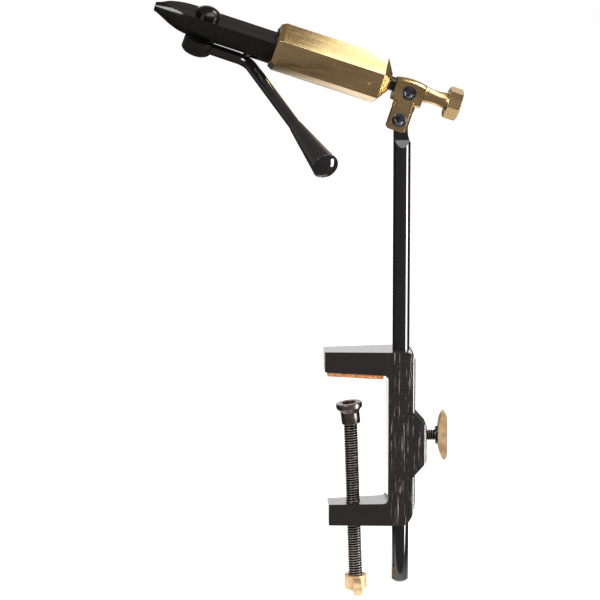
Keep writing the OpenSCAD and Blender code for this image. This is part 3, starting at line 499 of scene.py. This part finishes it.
class VISE_OT_screws(bpy.types.Operator):
    """Cuts the threads of the clamp screw and the thumb screw"""
    bl_idname = "vise.screws"
    bl_label = "Screws"

    def execute(self, context):
        steel = oiled_steel()
        place = axis_frame(JOINT["screw_turn"]["pos_m"], JOINT["screw_turn"]["axis"])
        low, _ = ends_along("clamp_screw", place)
        size = sizes()
        bm = thread(place, CLAMP_SCREW_RADIUS, size.clamp_thread_depth, size.clamp_pitch,
                    low, CLAMP_THREAD_TOP)
        turned(bm, place, BALL_END)
        piece("clamp_screw_thread", bm, steel, "clamp_screw", smooth_angle=40)
        face = MOUNT["cup_face"]["axis"]
        place = axis_frame(JOINT["screw_turn"]["pos_m"], face)
        bm = bmesh.new()
        turned(bm, place, CUP, 64)
        piece("swivel_cup_finish", bm, steel, "swivel_cup")

        place = axis_frame(JOINT["thumb_turn"]["pos_m"], JOINT["thumb_turn"]["axis"])
        low, high = ends_along("thumb_screw", place)
        bm = thread(place, THUMB_SCREW_RADIUS, size.thumb_thread_depth, size.thumb_pitch, low, high)
        piece("thumb_screw_thread", bm, steel, "thumb_screw", smooth_angle=40)
        dressed("thumb_washer", blackened_steel("Black oxide on pressed steel"), 0.15 * MM)
        return {"FINISHED"}


class VISE_OT_wings(bpy.types.Operator):
    """Dresses the two cast wing knobs"""
    bl_idname = "vise.wings"
    bl_label = "Wing knobs"

    def execute(self, context):
        brass = cast_brass()
        for node in ("clamp_wing_knob", "thumb_wing_knob"):
            dressed(node, brass, 0.7 * MM, segments=4)
        return {"FINISHED"}


class VISE_OT_post(bpy.types.Operator):
    """Dresses the post"""
    bl_idname = "vise.post"
    bl_label = "Post"

    def execute(self, context):
        dressed("post", gloss_black("Gloss black on drawn rod"), 0.4 * MM, segments=3)
        return {"FINISHED"}


class VISE_OT_head(bpy.types.Operator):
    """Dresses the pivot block, its screws, the shaft and the rear knob"""
    bl_idname = "vise.head"
    bl_label = "Head"

    def execute(self, context):
        width = sizes().machined_round
        dressed("pivot_block", drawn_brass("Milled and brushed brass"), width)
        dressed("rear_knob", drawn_brass("Turned brass", marks_mm=0.5), width)
        black = blackened_steel("Blue-black oxide on socket screws", colours().screw_oxide, 0.12, 0.2)
        for node in ("pivot_screw", "drag_screw"):
            dressed(node, black, 0.45 * MM, segments=4)
        dressed("rotary_shaft", blackened_steel("Black oxide on turned shaft"), width)
        painted("drag_plug", cut_nylon())
        return {"FINISHED"}


class VISE_OT_barrel(bpy.types.Operator):
    """Dresses the hexagonal barrel"""
    bl_idname = "vise.barrel"
    bl_label = "Barrel"

    def execute(self, context):
        size = sizes()
        bar = drawn_brass("Drawn hexagonal brass", marks_mm=0.4)
        bm = cad_copy("hex_barrel")
        round_edges(bm, size.barrel_round, 15, 5, lambda edge: edge.calc_length() > 3 * MM)
        round_edges(bm, size.machined_round)
        piece("hex_barrel_finish", bm, bar, "hex_barrel")
        dressed("barrel_set_screw", bar, 0.15 * MM)
        return {"FINISHED"}


class VISE_OT_jaws(bpy.types.Operator):
    """Dresses the two jaws, their dowel and their spring"""
    bl_idname = "vise.jaws"
    bl_label = "Jaws"

    def execute(self, context):
        oxide = blackened_steel("Black oxide on hardened steel")
        for node in ("jaw_near", "jaw_far"):
            dressed(node, oxide, 0.12 * MM)
        bright = ground_steel()
        painted("jaw_dowel", bright)
        painted("closing_spring", bright)
        return {"FINISHED"}


class VISE_OT_lever(bpy.types.Operator):
    """Dresses the cam pin, its collar, the lever's rod and its grip"""
    bl_idname = "vise.lever"
    bl_label = "Lever"

    def execute(self, context):
        oxide = blackened_steel("Black oxide on the cam pin")
        dressed("cam_pin", oxide, 0.12 * MM)
        satin = blackened_steel("Satin black oxide on the collar", low=0.32, high=0.4)
        dressed("lever_collar", satin, sizes().machined_round)
        dressed("lever_rod", gloss_black("Gloss black on bent rod", rough=0.14), 0.12 * MM)
        dressed("lever_grip", gloss_black("Gloss black moulded grip"), 0.3 * MM, segments=3)
        return {"FINISHED"}


# Stage

def area_light(name, place, aim, size, power):
    """A rectangular lamp at a place, aimed at a point."""
    lamp = bpy.data.lights.new(name, "AREA")
    lamp.shape = "RECTANGLE"
    lamp.size, lamp.size_y = size
    lamp.energy = power
    obj = bpy.data.objects.new(name, lamp)
    obj.location = place
    obj.rotation_euler = (Vector(aim) - Vector(place)).to_track_quat("-Z", "Y").to_euler()
    obj.visible_camera = False
    bpy.context.collection.objects.link(obj)


def seen_directly(tree):
    """1 on camera, glossy and transmission rays, and 0 on the rest."""
    path = add(tree, "LightPath").outputs
    either = add(tree, "Math", {0: path["Is Camera Ray"], 1: path["Is Glossy Ray"]}, operation="MAXIMUM")
    return add(tree, "Math", {0: either, 1: path["Is Transmission Ray"]}, operation="MAXIMUM")


def studio_world(room, warmth):
    """White all round to the camera; shiny surfaces see a narrow white wall behind, in a dim room."""
    world = bpy.data.worlds.new("Studio")
    bpy.context.scene.world = world
    world.use_nodes = True
    tree = world.node_tree
    background = tree.nodes["Background"]
    direction = add(tree, "TexCoord").outputs["Generated"]
    split = add(tree, "SeparateXYZ", {"Vector": direction})
    behind = add(tree, "MapRange", {0: split.outputs["Y"], 1: 0.78, 2: 0.96, 3: 0.0, 4: 1.0})
    aside = add(tree, "Math", {0: split.outputs["X"]}, operation="ABSOLUTE")
    width = add(tree, "MapRange", {0: aside, 1: 0.25, 2: 0.4, 3: 1.0, 4: 0.0})
    wall = add(tree, "Math", {0: behind, 1: width}, operation="MULTIPLY")
    around = add(tree, "MapRange", {0: wall, 3: room, 4: 1.3})
    camera = add(tree, "LightPath").outputs["Is Camera Ray"]
    white = add(tree, "Math", {0: wall, 1: camera}, operation="MAXIMUM")
    seen = add(tree, "Math", {0: around, 1: camera}, operation="MAXIMUM")
    plug(tree, background, {
        "Color": add(tree, "Mix", {0: white, 6: srgb(warmth), 7: (1, 1, 1, 1)}, data_type="RGBA"),
        "Strength": add(tree, "Mix", {0: seen_directly(tree), 2: 0.45, 3: seen})})


def studio_floor(colour):
    """A sheet of paper that starts just in front of the vise, so that its front doesn't mirror it.

    Shiny pieces see the sheet bright under the vise and dark to its sides.
    """
    low = CAD_BOX[0][2]
    bm = bmesh.new()
    bmesh.ops.create_grid(bm, x_segments=2, y_segments=2, size=3.0)
    bmesh.ops.translate(bm, verts=bm.verts, vec=(0, 2.96, low - 0.2 * MM))
    mesh = bpy.data.meshes.new("studio_floor")
    bm.to_mesh(mesh)
    bm.free()
    mat, tree, shader = material("Matt white paper")
    across = add(tree, "SeparateXYZ", {0: add(tree, "TexCoord").outputs["Object"]}).outputs["X"]
    aside = add(tree, "Math", {0: across}, operation="ABSOLUTE")
    lit = add(tree, "MapRange", {0: aside, 1: 0.03, 2: 0.1, 3: 0.85, 4: 0.04})
    seen = add(tree, "LightPath").outputs["Is Glossy Ray"]
    shade = add(tree, "Mix", {0: seen, 2: 1.0, 3: lit})
    glow = add(tree, "Math", {0: seen_directly(tree), 1: shade}, operation="MULTIPLY")
    plug(tree, shader, {
        "Base Color": add(tree, "Mix", {0: shade, 6: (0, 0, 0, 1), 7: srgb(colour)}, data_type="RGBA"),
        "Roughness": 0.9, "Specular IOR Level": 0.0, "Emission Color": (1, 1, 1, 1),
        "Emission Strength": add(tree, "Math", {0: glow, 1: 0.6}, operation="MULTIPLY")})
    mesh.materials.append(mat)
    obj = bpy.data.objects.new("studio_floor", mesh)
    bpy.context.collection.objects.link(obj)


class VISE_OT_stage(bpy.types.Operator):
    """Sets up the floor, the lamps, the backdrop and the camera"""
    bl_idname = "vise.stage"
    bl_label = "Stage"

    def execute(self, context):
        scene = context.scene
        stage = scene.vise_stage
        scene.view_settings.view_transform = "Standard"
        studio_world(stage.room, stage.warmth)
        studio_floor(stage.floor)
        aim = (0, 0, 0.05)
        area_light("front_box", (0.48, -0.55, 1.2), aim, (1.1, 0.6), 5)
        area_light("barrel_box", (0.18, 0.0, 0.42), (0.02, 0, 0.175), (0.26, 0.16), 0.17)
        area_light("rim_box", (0.55, 0.3, 0.8), (-0.05, 0, 0.2), (0.25, 0.25), 1.6)
        area_light("right_strip", (1.26, -0.41, -0.1), (0.026, 0, -0.1), (0.5, 0.95), 26)
        area_light("left_box", (-0.7, -0.85, 0.88), (-0.1, 0, 0.18), (0.6, 0.6), 12)

        camera = bpy.data.cameras.new("camera")
        camera.sensor_width = 36.0
        camera.lens = stage.lens
        camera.clip_end = 20.0
        obj = bpy.data.objects.new("camera", camera)
        target = Vector(stage.target)
        away = Vector((math.sin(stage.azimuth) * math.cos(stage.elevation),
                       -math.cos(stage.azimuth) * math.cos(stage.elevation), math.sin(stage.elevation)))
        obj.location = target + away * stage.distance
        obj.rotation_euler = (-away).to_track_quat("-Z", "Y").to_euler()
        context.collection.objects.link(obj)
        scene.camera = obj
        return {"FINISHED"}


OPERATORS = (VISE_OT_clamp, VISE_OT_screws, VISE_OT_wings, VISE_OT_post, VISE_OT_head, VISE_OT_barrel,
             VISE_OT_jaws, VISE_OT_lever, VISE_OT_stage)


class VISE_PT_panel(bpy.types.Panel):
    bl_idname = "VISE_PT_panel"
    bl_label = "Fly tying vise"
    bl_space_type = "VIEW_3D"
    bl_region_type = "UI"
    bl_category = "Vise"

    def draw(self, context):
        for group in (context.scene.vise_sizes, context.scene.vise_colours, context.scene.vise_stage):
            box = self.layout.box()
            for key in group.bl_rna.properties.keys():
                if key not in ("rna_type", "name"):
                    box.prop(group, key)
        for operator in OPERATORS:
            self.layout.operator(operator.bl_idname)


CLASSES = (ViseSizes, ViseColours, ViseStage) + OPERATORS + (VISE_PT_panel,)


def register():
    for cls in CLASSES:
        bpy.utils.register_class(cls)
    bpy.types.Scene.vise_sizes = bpy.props.PointerProperty(type=ViseSizes)
    bpy.types.Scene.vise_colours = bpy.props.PointerProperty(type=ViseColours)
    bpy.types.Scene.vise_stage = bpy.props.PointerProperty(type=ViseStage)


def unregister():
    del bpy.types.Scene.vise_stage
    del bpy.types.Scene.vise_colours
    del bpy.types.Scene.vise_sizes
    for cls in reversed(CLASSES):
        bpy.utils.unregister_class(cls)


def main():
    register()
    bpy.ops.vise.clamp()
    bpy.ops.vise.screws()
    bpy.ops.vise.wings()
    bpy.ops.vise.post()
    bpy.ops.vise.head()
    bpy.ops.vise.barrel()
    bpy.ops.vise.jaws()
    bpy.ops.vise.lever()
    bpy.ops.vise.stage()


if __name__ == "__main__":
    main()
